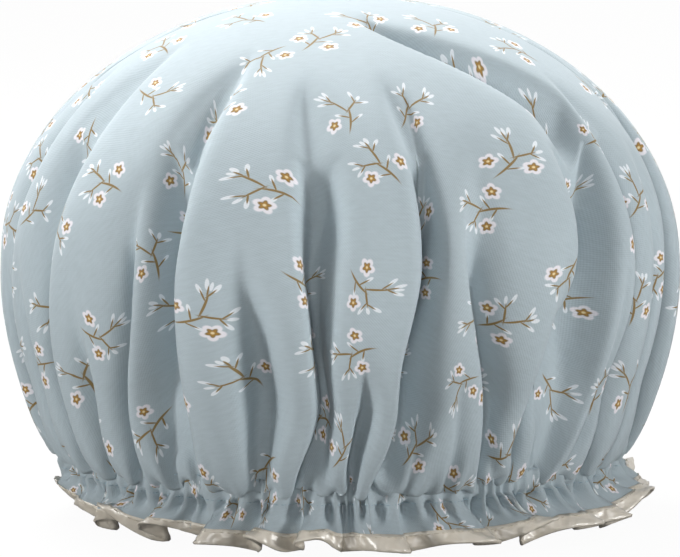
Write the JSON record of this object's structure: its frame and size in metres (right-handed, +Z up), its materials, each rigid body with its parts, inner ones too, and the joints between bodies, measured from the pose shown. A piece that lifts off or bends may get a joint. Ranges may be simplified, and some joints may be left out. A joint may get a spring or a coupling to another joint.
{
  "type": "shower cap",
  "caption": "Round gathered shower cap: a printed fabric crown over a waterproof lining, drawn in by an elastic loop above a short ruffle bound in satin tape.",
  "frame": {"origin": "under the top of the crown, on the plane that the bound edge of the ruffle stands on", "axes": "+Z up through the top of the crown, -Y to the front that the picture shows, +X to the right of that front"},
  "size_m": [0.2206, 0.2202, 0.1678],
  "materials": {
    "printed_fabric": "pale grey-blue plain weave with a small floral print",
    "lining_film": "milky waterproof film",
    "elastic": "knitted over rubber, white",
    "satin_binding": "ivory satin",
    "blue_thread": "spun thread",
    "ivory_thread": "spun thread"
  },
  "bodies": {
    "root": {"outer_fabric": "printed_fabric", "waterproof_lining": "lining_film", "elastic_band": "elastic", "elastic_splice_thread": "ivory_thread", "edge_binding": "satin_binding", "upper_channel_needle_thread": "blue_thread", "upper_channel_bobbin_thread": "blue_thread", "lower_channel_needle_thread": "blue_thread", "lower_channel_bobbin_thread": "blue_thread", "binding_needle_thread": "ivory_thread", "binding_bobbin_thread": "ivory_thread"}
  },
  "joints": []
}
